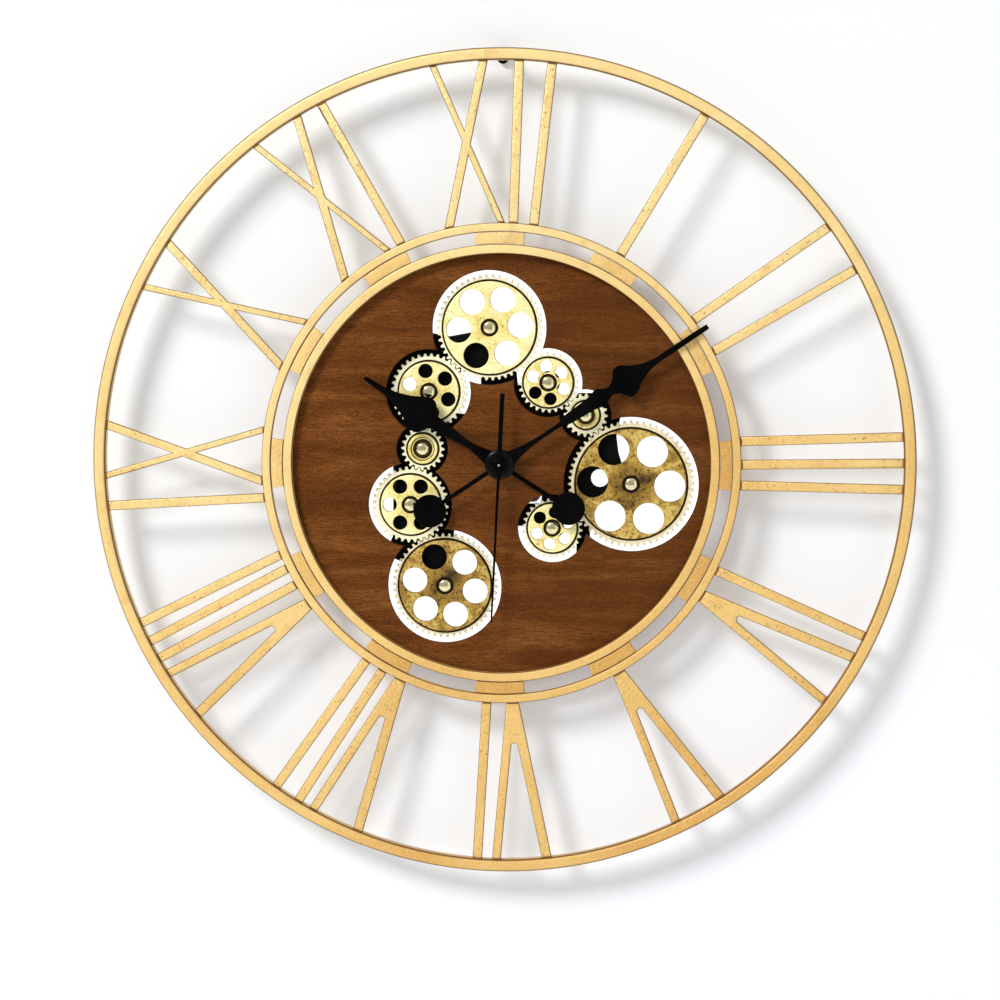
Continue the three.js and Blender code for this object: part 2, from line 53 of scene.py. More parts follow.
OUTER_RING = dict(inner=291.0, outer=300.0, back=20.8, front=30.8, edge=2.4)
OUTER_BAND = dict(inner=168.3, outer=174.8, back=24.8, front=30.8, edge=1.3)
INNER_BAND = dict(inner=152.5, outer=159.4, back=24.8, front=30.8, edge=1.3)
SPACER = dict(inner=159.7, outer=168.0, half_angle=6.15, back=25.8, front=29.8, edge=0.25)
PANEL = dict(radius=157.6, back=18.5, front=24.5, shaft_hole=5.2, edge=0.45)

NUMERAL = dict(back=26.8, front=29.8, edge=1.35)
# The beads' radii at a stroke's two ends. join is the widest gap in an end that one bead runs across.
WELD = dict(ring_side=290.85, band_side=174.95, depth=28.9, half_width=0.7, half_depth=1.75, step=0.45,
            join=9.0, sides=12)
# Between a numeral stroke's end and the ring or the band that it is welded to.
GAP = 0.3

GEAR = dict(module=1.5, back=16.2, floor_back=17.1, floor=17.5, groove_top=18.6, rim=19.2, web=21.0)
# inside and past_web are added to a web's radius, and small_ring and step_gap are taken from it.
RIM = dict(inside=1.3, edge=0.26)
FLOOR = dict(past_web=1.9, back=16.5, hole_spare=0.25, edge=0.1)
WEB = dict(back=17.1, edge=0.4, small_ring=2.3, step_gap=2.7, step_front=19.8, step_edge=0.3)
ARBOR = dict(radius=2.0, back=12.2, edge=0.3)
SHOULDER = dict(radius=4.0, back=15.7, front=16.7, edge=0.15)
HUB = dict(well=6.4, small_well=7.1, cap=4.7, cap_front=22.6, slot=0.9, slot_depth=0.8)
FIRST_GEAR = (-8.3, 99.0)

# near is the gear that a gear meshes with and way the direction from it, in degrees. web is the raised
# web's radius, clear that of the opening in the panel, and holes the radius of the web's six holes, the
# radius of their circle and where they start on it.
TRAIN = [
    dict(id=1, teeth=50, web=33.7, clear=41.6, holes=(9.2, 22.5, 4.5)),
    dict(id=2, teeth=36, web=21.9, clear=31.0, near=1, way=226.45, holes=(5.2, 15.3, 38.8)),
    dict(id=3, teeth=20, web=11.0, clear=19.0, near=2, way=263.66),
    dict(id=4, teeth=36, web=21.9, clear=30.8, near=3, way=257.65, holes=(5.2, 15.3, 0.0)),
    dict(id=5, teeth=50, web=33.7, clear=41.8, near=4, way=293.0, holes=(9.2, 22.5, -10.0)),
    dict(id=6, teeth=28, web=17.8, clear=25.0, near=1, way=317.0, holes=(4.5, 11.9, 38.0)),
    dict(id=7, teeth=20, web=9.9, clear=18.9, near=6, way=319.3),
    dict(id=8, teeth=60, web=40.2, clear=49.0, near=7, way=303.6, holes=(11.3, 28.1, -3.0)),
    dict(id=9, teeth=28, web=17.8, clear=25.0, near=8, way=209.57, holes=(4.4, 11.8, 20.0)),
]

# angle is where a hand points, clockwise from twelve.
HOUR = dict(angle=302.4, back=29.4, front=30.8, tail=59.3, hub=11.0, bore=3.4, hub_front=31.4)
MINUTE = dict(angle=56.2, back=33.2, front=34.6, tail=61.0, hub=10.4, bore=2.1, hub_front=35.4)
SECOND = dict(angle=182.8, back=36.8, front=37.6)
# A hand's half width at distances from the centre.
HOUR_PROFILE = [(9.5, 5.6), (14, 4.4), (26, 2.4), (37, 3.4), (47, 4.4), (57, 5.4), (60, 9), (63, 12.6),
                (66.5, 13.8), (71, 13), (80, 8), (88, 5), (96, 2.9), (105, 2), (115, 1.6), (117, 0.8)]
MINUTE_PROFILE = [(9.5, 5.6), (14, 4.2), (24, 2.5), (34, 1.7), (49, 1.6), (56, 2.2), (60, 3.7), (80, 5),
                  (88, 6.9), (93, 4.6), (97, 3.4), (102, 6), (106, 11), (109, 12.2), (113, 11.2),
                  (121, 6.2), (133, 2.5), (150, 2.2), (178, 1.9), (180.5, 1)]
# The second hand's boss as radius and depth.
SECOND_BOSS = [(1.1, 36.8), (5.0, 36.8), (5.4, 37.2), (5.4, 37.4), (5.0, 38.1), (4.0, 38.5), (2.4, 38.6),
               (1.1, 38.6)]
TAIL_ROD = 1.6
COUNTERWEIGHT = 12.0
# The width of a hub's rounded front edge.
CROWN = 2.4
# Parts of one hand differ in depth by this much, so that no two faces lie in one plane.
STAGGER = 0.01

# ---------------------------------------------------------------- shader helpers

COAT_ROUGHNESS = 0.08


class Nodes:
    """A node tree, with short calls for the nodes used here."""

    def __init__(self, tree):
        self.tree = tree

    def add(self, kind, **values):
        node = self.tree.nodes.new(kind)
        for key, value in values.items():
            if hasattr(node, key):
                setattr(node, key, value)
            else:
                node.inputs[key.replace("_", " ")].default_value = value
        return node

    def link(self, source, target):
        self.tree.links.new(source, target)

    def feed(self, socket, value):
        """Links a node's output to a socket, or sets the socket to a number or a colour."""
        if hasattr(value, "is_output"):
            self.link(value, socket)
        elif isinstance(value, tuple):
            socket.default_value = (*value, 1)
        else:
            socket.default_value = value

    def axes(self, output="Object"):
        """The X, Y and Z of the object's own coordinates, or of another texture coordinate."""
        place = self.add("ShaderNodeTexCoord")
        split = self.add("ShaderNodeSeparateXYZ")
        self.link(place.outputs[output], split.inputs[0])
        return split.outputs

    def distance(self, cx=0.0, cz=0.0):
        """Distance in metres from an axis along Y, whose place is given in millimetres."""
        flat = self.add("ShaderNodeVectorMath", operation="MULTIPLY")
        self.link(self.coords(location=(-cx * MM, 0, -cz * MM)), flat.inputs[0])
        flat.inputs[1].default_value = (1, 0, 1)
        length = self.add("ShaderNodeVectorMath", operation="LENGTH")
        self.link(flat.outputs[0], length.inputs[0])
        return length.outputs["Value"]

    def coords(self, scale=(1, 1, 1), rotation=(0, 0, 0), location=(0, 0, 0)):
        place = self.add("ShaderNodeTexCoord")
        mapping = self.add("ShaderNodeMapping")
        mapping.inputs["Scale"].default_value = scale
        mapping.inputs["Rotation"].default_value = rotation
        mapping.inputs["Location"].default_value = location
        self.link(place.outputs["Object"], mapping.inputs["Vector"])
        return mapping.outputs["Vector"]

    def noise(self, vector, scale, detail=4.0, roughness=0.55, distortion=0.0):
        node = self.add("ShaderNodeTexNoise", Scale=scale, Detail=detail, Roughness=roughness)
        node.inputs["Distortion"].default_value = distortion
        self.link(vector, node.inputs["Vector"])
        return node.outputs["Fac"]

    def ramp(self, factor, stops):
        node = self.add("ShaderNodeValToRGB")
        elements = node.color_ramp.elements
        while len(elements) < len(stops):
            elements.new(0.5)
        for element, (position, colour) in zip(elements, stops):
            element.position = position
            element.color = (*colour, 1)
        self.link(factor, node.inputs["Fac"])
        return node.outputs["Color"]

    def remap(self, value, low, high, to_low, to_high):
        node = self.add("ShaderNodeMapRange")
        node.interpolation_type = "SMOOTHSTEP"
        ends = {"From Min": low, "From Max": high, "To Min": to_low, "To Max": to_high}
        for key, number in ends.items():
            node.inputs[key].default_value = number
        self.link(value, node.inputs["Value"])
        return node.outputs["Result"]

    def mix(self, factor, a, b):
        node = self.add("ShaderNodeMix", data_type="RGBA")
        sockets = [s for s in node.inputs if s.enabled]
        for socket, value in zip(sockets, (factor, a, b)):
            self.feed(socket, value)
        return [s for s in node.outputs if s.enabled][0]

    def math(self, operation, a, b=0.0):
        node = self.add("ShaderNodeMath", operation=operation)
        for socket, value in zip(node.inputs, (a, b)):
            self.feed(socket, value)
        return node.outputs[0]

    def bump(self, height, strength, distance, under=None):
        node = self.add("ShaderNodeBump", Strength=strength, Distance=distance)
        self.link(height, node.inputs["Height"])
        if under:
            self.link(under, node.inputs["Normal"])
        return node.outputs["Normal"]


class Finish(Nodes):
    """The nodes of a new material."""

    def __init__(self, name):
        self.material = bpy.data.materials.new(name)
        self.material.use_nodes = True
        super().__init__(self.material.node_tree)
        self.shader = self.tree.nodes["Principled BSDF"]

    def surface(self, colour, roughness, normal=None, metallic=0.0, coat=0.0, specular=0.5):
        s = self.shader.inputs
        self.feed(s["Base Color"], colour)
        self.feed(s["Roughness"], roughness)
        s["Metallic"].default_value = metallic
        s["Coat Weight"].default_value = coat
        s["Coat Roughness"].default_value = COAT_ROUGHNESS
        s["Specular IOR Level"].default_value = specular
        if normal:
            self.link(normal, s["Normal"])
        return self.material


def facing_front(n):
    """How far a surface faces the front of the clock: 1 for a flat face, 0 for a side."""
    return n.math("ABSOLUTE", n.axes("Normal")["Y"])


# Gold colours from the pale upper left to the painted shade at the lower right.
GOLD_TONES = [(0.0, (0.86, 0.65, 0.28)), (0.5, (0.79, 0.52, 0.175)), (1.0, (0.59, 0.30, 0.055))]


def gold_coat(name, wear, warm=0.0):
    """Pale gold leaf over steel: a fine grain, painted shade that darkens the edges and the lower right, and
    cracks and specks where the leaf wears thin.
    """
    n = Finish(name)
    place = n.coords()
    at = n.axes()
    # Painted shade: the gold is made darker and more orange towards the lower right, as if lit from the
    # upper left; slow random tone and the warm shift move it as well.
    painted_shade_slope = n.math("SUBTRACT", n.math("MULTIPLY", at["X"], 0.45), at["Z"])
    slow = n.noise(place, 9, 3)
    patch = n.noise(place, 60, 4, 0.6)
    grain = n.noise(place, 900, 3, 0.6)
    shade_and_tone = n.math("ADD", n.remap(painted_shade_slope, -0.30, 0.34, 0.0, 0.85), n.remap(slow, 0.3, 0.7, -0.15, 0.2))
    shade_and_tone = n.math("ADD", shade_and_tone, warm)
    tone = n.ramp(shade_and_tone, GOLD_TONES)
    colour = n.mix(n.remap(grain, 0.35, 0.7, 0.0, 0.28), tone, (0.96, 0.77, 0.38))
    colour = n.mix(n.remap(patch, 0.5, 0.75, 0.0, 0.5), colour, (0.74, 0.44, 0.13))
    veins = n.math("ABSOLUTE", n.math("SUBTRACT", n.noise(place, 170, 3, 0.6, 0.8), 0.5))
    where = n.remap(patch, 0.46, 0.58, 0.0, 1.0)
    cracks = n.math("MULTIPLY", n.remap(veins, 0.0, 0.012, wear, 0.0), where)
    specks = n.remap(n.noise(place, 520, 2, 0.5), 0.64, 0.74, 0.0, wear)
    # Painted shade: the rounded edges and sides, where the surface turns away from the front, are darkened;
    # the cracks and specks joined with them are wear.
    facing = facing_front(n)
    side = n.remap(facing, 0.02, 0.2, 0.4, 1.0)
    edge = n.math("MULTIPLY", n.remap(facing, 0.62, 0.985, 0.95, 0.0), side)
    shade_and_wear = n.math("MAXIMUM", edge, n.math("MAXIMUM", cracks, specks))
    colour = n.mix(shade_and_wear, colour, (0.13, 0.055, 0.013))
    rough = n.remap(grain, 0.3, 0.7, 0.36, 0.55)
    hammered = n.bump(n.noise(place, 430, 2, 0.5), min(1.0, 1.3 * wear), 0.0008)
    return n.surface(colour, rough, n.bump(grain, 0.25, 0.0004, hammered), metallic=0.25, specular=0.3)


def brass(name, centre, web, tone):
    """Cast brass: pale faces, darker patches and darker round the hub, painted shade in the groove and on
    the sides of the teeth, and a painted highlight that whitens the rim.
    """
    n = Finish(name)
    place = n.coords()
    out = n.distance(*centre)
    depth = n.axes()["Y"]
    # Painted shade: the sunk groove between rim and web is darkened, less so on faces behind the floor.
    groove = n.remap(depth, -GEAR["groove_top"] * MM, -GEAR["floor"] * MM, 0.0, 1.0)
    behind = n.remap(depth, -GEAR["floor_back"] * MM, -GEAR["back"] * MM, 1.0, 0.3)
    groove = n.math("MULTIPLY", groove, behind)
    # Painted shade: the sides of the teeth and the rounded edges are darkened.
    side = n.remap(facing_front(n), 0.45, 0.95, 0.9, 0.0)
    patches = n.noise(place, 75, 5, 0.65, 0.6)
    fine = n.noise(place, 420, 4, 0.7)
    pits = n.noise(place, 1300, 2, 0.5)
    near_hub = n.remap(out, 0.005, 0.024, tone["hub"], 0.0)
    # Painted highlight: the rim is kept paler than the web.
    on_rim = n.remap(out, (web + 0.2) * MM, (web + 0.8) * MM, 1.0, 0.35)
    wear_and_shade = n.math("ADD", n.remap(patches, 0.42, 0.68, tone["base"], tone["patch"]), near_hub)
    wear_and_shade = n.math("ADD", wear_and_shade, n.remap(fine, 0.50, 0.72, 0.0, tone["grain"]))
    wear_and_shade = n.math("MULTIPLY", wear_and_shade, on_rim)
    # The painted shade of the groove and of the sides is added to the patches and grain here.
    wear_and_shade = n.math("ADD", wear_and_shade, n.math("MAXIMUM", groove, side))
    colour = n.ramp(wear_and_shade, [(0.0, tone["pale"]), (0.4, tone["middle"]), (1.0, tone["dark"])])
    # Painted highlight: the rim and teeth are whitened towards a pale yellow-white, less where they are
    # darker.
    painted_rim_highlight = n.remap(out, (web + 0.2) * MM, (web + 0.8) * MM, 0.0, 0.6)
    painted_rim_highlight = n.math("MULTIPLY", painted_rim_highlight, n.remap(wear_and_shade, 0.1, 0.45, 1.0, 0.0))
    colour = n.mix(painted_rim_highlight, colour, (1.0, 0.95, 0.74))
    rough = n.remap(fine, 0.3, 0.7, 0.26, 0.5)
    rolling = n.bump(n.noise(place, 160, 3, 0.5), 0.45, 0.0008)
    return n.surface(colour, rough, n.bump(pits, 0.35, 0.0003, rolling), metallic=0.3, specular=0.3)


WALNUT_TONES = [(0.3, (0.086, 0.024, 0.003)), (0.52, (0.158, 0.047, 0.0065)), (0.72, (0.245, 0.088, 0.019))]


def walnut():
    """Dark oiled walnut: long nearly level grain lines, open pores, slow bands, and painted shade that
    darkens it towards the right.
    """
    n = Finish("walnut_panel")
    tilt = (0, math.radians(4), 0)
    bands = n.noise(n.coords((1.8, 1, 13), tilt), 5, 3, 0.5, 0.8)
    lines = n.noise(n.coords((14, 14, 150), tilt), 6, 5, 0.7, 0.5)
    pores = n.noise(n.coords((90, 90, 620), tilt), 3, 3, 0.6)
    fleck = n.noise(n.coords((1, 1, 1.6), tilt), 620, 2, 0.5)
    fibre = n.mix(n.remap(lines, 0.40, 0.62, 0.0, 0.6), n.ramp(bands, WALNUT_TONES), (0.062, 0.018, 0.003))
    colour = n.mix(n.remap(fleck, 0.54, 0.72, 0.0, 0.4), fibre, (0.29, 0.108, 0.026))
    colour = n.mix(n.remap(pores, 0.55, 0.66, 0.0, 0.65), colour, (0.022, 0.008, 0.003))
    # Painted shade: the walnut grows darker from left to right, as if lit from the left.
    painted_shade_rightward = n.remap(n.axes()["X"], -0.16, 0.16, 0.0, 0.42)
    colour = n.mix(painted_shade_rightward, colour, (0.062, 0.020, 0.004))
    rough = n.remap(lines, 0.3, 0.7, 0.5, 0.7)
    soft = n.bump(lines, 0.35, 0.0005)
    return n.surface(colour, rough, n.bump(pores, 0.3, 0.0003, soft), specular=0.06)


def enamel(name, colour, roughness, specular):
    """Satin black stove enamel with a faint orange peel."""
    n = Finish(name)
    place = n.coords()
    peel = n.noise(place, 700, 2, 0.5)
    slow = n.noise(place, 30, 3)
    shade = n.mix(n.remap(slow, 0.35, 0.65, 0.0, 1.0), colour, tuple(c * 1.7 + 0.0008 for c in colour))
    rough = n.remap(peel, 0.3, 0.7, roughness - 0.06, roughness + 0.08)
    return n.surface(shade, rough, n.bump(peel, 0.12, 0.0003), specular=specular)


def moulded(name, colour, roughness=0.5):
    """Moulded plastic with a spark-eroded texture."""
    n = Finish(name)
    place = n.coords()
    spark = n.noise(place, 1500, 3, 0.6)
    slow = n.noise(place, 40, 2)
    shade = n.mix(n.remap(slow, 0.3, 0.7, 0.0, 1.0), colour, tuple(c * 1.25 + 0.003 for c in colour))
    rough = n.remap(spark, 0.3, 0.7, roughness - 0.08, roughness + 0.1)
    return n.surface(shade, rough, n.bump(spark, 0.3, 0.0002))


def machined(name, colour, roughness=0.3):
    """Turned or plated metal with fine tool marks."""
    n = Finish(name)
    marks = n.noise(n.coords((60, 900, 60)), 4, 3, 0.6)
    shade = n.mix(n.remap(marks, 0.3, 0.7, 0.0, 1.0), colour, tuple(c * 0.72 for c in colour))
    rough = n.remap(marks, 0.3, 0.7, roughness - 0.06, roughness + 0.12)
    return n.surface(shade, rough, n.bump(marks, 0.15, 0.0002), metallic=1.0)


def cell_wrap():
    """A battery's plain blue shrink sleeve."""
    n = Finish("cell_sleeve")
    place = n.coords()
    slow = n.noise(place, 25, 2)
    shade = n.ramp(slow, [(0.3, (0.030, 0.105, 0.190)), (0.7, (0.045, 0.150, 0.250))])
    return n.surface(shade, 0.3, n.bump(n.noise(place, 300, 2), 0.1, 0.0002), coat=0.5)


GOLD = gold_coat("gold_leaf", 0.25)
GOLD_WORN = gold_coat("gold_leaf_worn", 0.7, -0.04)
GOLD_WARM = gold_coat("gold_leaf_warm", 0.4, 0.3)
WALNUT = walnut()
WELD_BROWN = enamel("weld_patina", (0.16, 0.066, 0.018), 0.5, 0.2)
HAND_BLACK = enamel("hand_enamel", (0.0008, 0.0007, 0.0007), 0.34, 0.035)
HUB_BLACK = enamel("hub_enamel", (0.0008, 0.0007, 0.0007), 0.24, 0.14)
CARRIER_BLACK = enamel("carrier_enamel", (0.0014, 0.0013, 0.0012), 0.62, 0.05)
BLACK_PLASTIC = moulded("black_moulding", (0.012, 0.012, 0.013))
NYLON = moulded("nylon_moulding", (0.72, 0.68, 0.58), 0.42)
STEEL = machined("plated_steel", (0.60, 0.60, 0.61))
FITTING = machined("turned_brass", (0.80, 0.60, 0.26), 0.22)
CAP_BRASS = machined("polished_cap", (0.98, 0.88, 0.52), 0.14)
CELL = cell_wrap()

PALE = dict(pale=(1.0, 0.94, 0.50), middle=(0.86, 0.68, 0.20), dark=(0.045, 0.026, 0.007),
            base=0.0, patch=0.28, hub=0.22, grain=0.45)
DULL = dict(pale=(0.87, 0.65, 0.19), middle=(0.38, 0.22, 0.032), dark=(0.033, 0.018, 0.005),
            base=0.16, patch=0.62, hub=0.42, grain=0.72)
TONES = {5: DULL, 8: DULL}

# ---------------------------------------------------------------- outlines
# Points are x to the right and z up, in millimetres.


def arc(cx, cz, radius, start, end, steps):
    angles = [math.radians(start + (end - start) * i / steps) for i in range(steps + 1)]
    return [(cx + radius * math.cos(a), cz + radius * math.sin(a)) for a in angles]


def circle(cx, cz, radius, sides=64):
    return arc(cx, cz, radius, 0, 360, sides)[:-1]


def turned(outline, degrees):
    """Turns an outline about the clock's centre, clockwise as seen from the front."""
    c, s = math.cos(math.radians(degrees)), math.sin(math.radians(degrees))
    return [(x * c + z * s, z * c - x * s) for x, z in outline]


def catmull_rom(a, b, c, d, t):
    square = 2 * a - 5 * b + 4 * c - d
    cube = 3 * b - a - 3 * c + d
    return 0.5 * (2 * b + (c - a) * t + square * t * t + cube * t ** 3)


def smooth(points, steps=6):
    """Catmull-Rom points through a profile."""
    ends = [points[0], *points, points[-1]]
    out = []
    for p0, p1, p2, p3 in zip(ends, ends[1:], ends[2:], ends[3:]):
        for i in range(steps):
            out.append(tuple(catmull_rom(*along, i / steps) for along in zip(p0, p1, p2, p3)))
    return [*out, points[-1]]


# ---------------------------------------------------------------- mesh helpers


def finish_mesh(name, mesh, material, crease=35):
    """Puts a mesh in the scene with its material, smooth except across sharp edges."""
    body = bmesh.new()
    body.from_mesh(mesh)
    bmesh.ops.remove_doubles(body, verts=body.verts, dist=1e-6)
    bmesh.ops.recalc_face_normals(body, faces=body.faces)
    body.to_mesh(mesh)
    body.free()
    mesh.materials.clear()
    mesh.materials.append(material)
    mesh.shade_smooth()
    mesh.set_sharp_from_angle(angle=math.radians(crease))
    piece = bpy.data.objects.new(name, mesh)
    scene.collection.objects.link(piece)
    return piece


def plate_mesh(loops, back, front, edge, rounds=2):
    """A flat plate between two depths with rounded edges, from an outline and the loops of its holes."""
    curve = bpy.data.curves.new("outline", "CURVE")
    curve.dimensions = "2D"
    curve.fill_mode = "BOTH"
    curve.extrude = ((front - back) / 2 - edge) * MM
    curve.bevel_depth = edge * MM
    curve.bevel_resolution = rounds
    curve.offset = -edge * MM
    for loop in loops:
        spline = curve.splines.new("POLY")
        spline.points.add(len(loop) - 1)
        for target, (x, z) in zip(spline.points, loop):
            target.co = (x * MM, z * MM, 0, 1)
        spline.use_cyclic_u = True
    holder = bpy.data.objects.new("outline", curve)
    scene.collection.objects.link(holder)
    bpy.context.view_layer.update()
    evaluated = holder.evaluated_get(bpy.context.evaluated_depsgraph_get())
    mesh = bpy.data.meshes.new_from_object(evaluated)
    bpy.data.objects.remove(holder)
    bpy.data.curves.remove(curve)
    upright = Matrix.Rotation(math.pi / 2, 4, "X")
    mesh.transform(Matrix.Translation((0, -(back + front) / 2 * MM, 0)) @ upright)
    return mesh


def lathe_mesh(profile, cx=0.0, cz=0.0, sides=96, closed=False):
    """Turns (radius, depth) points round an axis along Y."""
    mesh = bpy.data.meshes.new("turned")
    body = bmesh.new()
    rings = []
    for radius, depth in profile:
        if radius < 1e-6:
            rings.append([body.verts.new((cx * MM, -depth * MM, cz * MM))])
        else:
            rings.append([
                body.verts.new(((cx + radius * math.cos(TAU * i / sides)) * MM, -depth * MM,
                                (cz + radius * math.sin(TAU * i / sides)) * MM))
                for i in range(sides)
            ])
    pairs = list(zip(rings, rings[1:]))
    if closed:
        pairs.append((rings[-1], rings[0]))
    for a, b in pairs:
        for i in range(sides):
            j = (i + 1) % sides
            corners = [a[i % len(a)], a[j % len(a)], b[j % len(b)], b[i % len(b)]]
            corners = list(dict.fromkeys(corners))
            if len(corners) > 2:
                body.faces.new(corners)
    body.to_mesh(mesh)
    body.free()
    return mesh


def rounded_section(inner, outer, back, front, edge, steps=7):
    """A ring's cross-section with rounded corners, as (radius, depth) points."""
    corners = [(outer - edge, front - edge, 0), (inner + edge, front - edge, 90),
               (inner + edge, back + edge, 180), (outer - edge, back + edge, 270)]
    return [p for cx, cy, start in corners for p in arc(cx, cy, edge, start, start + 90, steps)]


def merged(meshes):
    body = bmesh.new()
    for mesh in meshes:
        body.from_mesh(mesh)
    result = bpy.data.meshes.new("merged")
    body.to_mesh(result)
    body.free()
    for mesh in meshes:
        bpy.data.meshes.remove(mesh)
    return result


def place(piece, body, slot, *nodes):
    """Rides the piece on its body and hides the CAD nodes it stands for. Its slot is not used."""
    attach(piece, body)
    if nodes:
        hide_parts(*nodes)


def refined(node, body, slot, material, edge):
    """A CAD node's shape with its flat faces cleaned and its edges rounded."""
    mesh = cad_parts[node].data.copy()
    work = bmesh.new()
    work.from_mesh(mesh)
    bmesh.ops.remove_doubles(work, verts=work.verts, dist=1e-6)
    bmesh.ops.dissolve_limit(work, angle_limit=math.radians(1), verts=work.verts, edges=work.edges)
    work.to_mesh(mesh)
    work.free()
    piece = finish_mesh(f"{node}_fine", mesh, material)
    bevel = piece.modifiers.new("edge", "BEVEL")
    bevel.limit_method = "ANGLE"
    bevel.angle_limit = math.radians(38)
    bevel.width = edge * MM
    bevel.segments = 2
    bevel.use_clamp_overlap = True
    bpy.context.view_layer.update()
    evaluated = piece.evaluated_get(bpy.context.evaluated_depsgraph_get())
    shaped = bpy.data.meshes.new_from_object(evaluated)
    piece.modifiers.clear()
    piece.data = shaped
    shaped.shade_smooth()
    shaped.set_sharp_from_angle(angle=math.radians(32))
    place(piece, body, slot, node)


# ---------------------------------------------------------------- gold frame


def gold_ring(name, size, node):
    ring = lathe_mesh(rounded_section(**size), sides=288, closed=True)
    place(finish_mesh(name, ring, GOLD), "frame", "gold_frame", node)


gold_ring("outer_ring_fine", OUTER_RING, "outer_ring")
gold_ring("outer_band_fine", OUTER_BAND, "chapter_outer_band")
gold_ring("inner_band_fine", INNER_BAND, "chapter_inner_band")


def spacer_block(hour):
    """A block between the chapter bands."""
    half = SPACER["half_angle"]
    outline = [*arc(0, 0, SPACER["outer"], 90 - half, 90 + half, 20),
               *arc(0, 0, SPACER["inner"], 90 + half, 90 - half, 20)]
    mesh = plate_mesh([turned(outline, hour * 30)], SPACER["back"], SPACER["front"], SPACER["edge"])
    piece = finish_mesh(f"spacer_{hour}", mesh, GOLD_WARM)
    place(piece, "frame", "gold_frame", "chapter_inner_band")


for hour in range(1, 13):
    spacer_block(hour)

STROKES = sorted(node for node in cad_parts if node.startswith("numeral_"))


def front_loops(node, nearest=0.4):
    """The outline of a CAD plate's front face, as loops of (x, z) points in millimetres."""
    work = bmesh.new()
    work.from_mesh(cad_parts[node].data)
    bmesh.ops.remove_doubles(work, verts=work.verts, dist=1e-6)
    front = [face for face in work.faces if face.normal.y < -0.99]
    onward = {}
    for face in front:
        for loop in face.loops:
            if sum(f in front for f in loop.edge.link_faces) == 1:
                onward[loop.vert] = loop.link_loop_next.vert
    loops = []
    while onward:
        start, vertex = next(iter(onward.items()))
        loop = [start]
        del onward[start]
        while vertex in onward:
            loop.append(vertex)
            vertex = onward.pop(vertex)
        points = [(v.co.x / MM, v.co.z / MM) for v in loop]
        loops.append([p for p, q in zip(points, [points[-1], *points]) if math.dist(p, q) > nearest])
    work.free()
    return loops


for node in STROKES:
    mesh = plate_mesh(front_loops(node), NUMERAL["back"], NUMERAL["front"], NUMERAL["edge"], 4)
    place(finish_mesh(f"{node}_fine", mesh, GOLD_WORN, 40), "frame", "gold_frame", node)


def end_spans(node, radius):
    """The stretches of a numeral stroke's end that lie on a circle, as pairs of angles in radians."""
    found = []
    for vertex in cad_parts[node].data.vertices:
        x, _, z = vertex.co
        if abs(math.hypot(x, z) - radius * MM) < 0.15 * MM:
            found.append(math.atan2(x, z) % TAU)
    found.sort()
    spans = []
    for angle in found:
        if spans and angle - spans[-1][1] < WELD["join"] / radius:
            spans[-1][1] = angle
        else:
            spans.append([angle, angle])
    return spans


def weld_bead(body, radius, start, end):
    """A rippled bead of weld along an arc, from one angle to another."""
    steps = max(8, round(radius * (end - start) / WELD["step"]))
    rings = []
    for i in range(steps + 1):
        angle = start + (end - start) * i / steps
        ripple = 1 + 0.16 * math.sin(i * 1.9 + start * 40) + random.uniform(-0.08, 0.08)
        swell = ripple * math.sqrt(max(0.05, 1 - (2 * i / steps - 1) ** 6))
        ring = []
        for k in range(WELD["sides"]):
            turn = TAU * k / WELD["sides"]
            r = (radius + WELD["half_width"] * swell * math.cos(turn)) * MM
            depth = (WELD["depth"] + WELD["half_depth"] * min(swell, 1.05) * math.sin(turn)) * MM
            ring.append(body.verts.new((r * math.sin(angle), -depth, r * math.cos(angle))))
        rings.append(ring)
    for a, b in zip(rings, rings[1:]):
        for k in range(WELD["sides"]):
            j = (k + 1) % WELD["sides"]
            body.faces.new((a[k], a[j], b[j], b[k]))
    body.faces.new(rings[0])
    body.faces.new(reversed(rings[-1]))


def weld_beads():
    """The beads that hold the numeral strokes to the outer ring and to the chapter band."""
    body = bmesh.new()
    ends = ((OUTER_RING["inner"] - GAP, WELD["ring_side"]), (OUTER_BAND["outer"] + GAP, WELD["band_side"]))
    for node in STROKES:
        for end_radius, bead_radius in ends:
            for start, end in end_spans(node, end_radius):
                weld_bead(body, bead_radius, start, end)
    mesh = bpy.data.meshes.new("welds")
    body.to_mesh(mesh)
    body.free()
    piece = finish_mesh("weld_beads", mesh, WELD_BROWN, 60)
    place(piece, "frame", "gold_frame")


weld_beads()

# ---------------------------------------------------------------- gears


def place_train():
    """Meshing positions and phases, worked out along the train from the first gear."""
    placed = {}
    for gear in TRAIN:
        near = placed.get(gear.get("near"))
        if near is None:
            placed[gear["id"]] = dict(gear, x=FIRST_GEAR[0], z=FIRST_GEAR[1], phase=0.0)
            continue
        distance = GEAR["module"] * (near["teeth"] + gear["teeth"]) / 2
        way = math.radians(gear["way"])
        lead = near["phase"] - way
        placed[gear["id"]] = dict(
            gear,
            x=near["x"] + distance * math.cos(way),
            z=near["z"] + distance * math.sin(way),
            phase=way + math.pi + math.pi / gear["teeth"] - lead * near["teeth"] / gear["teeth"],
        )
    return placed


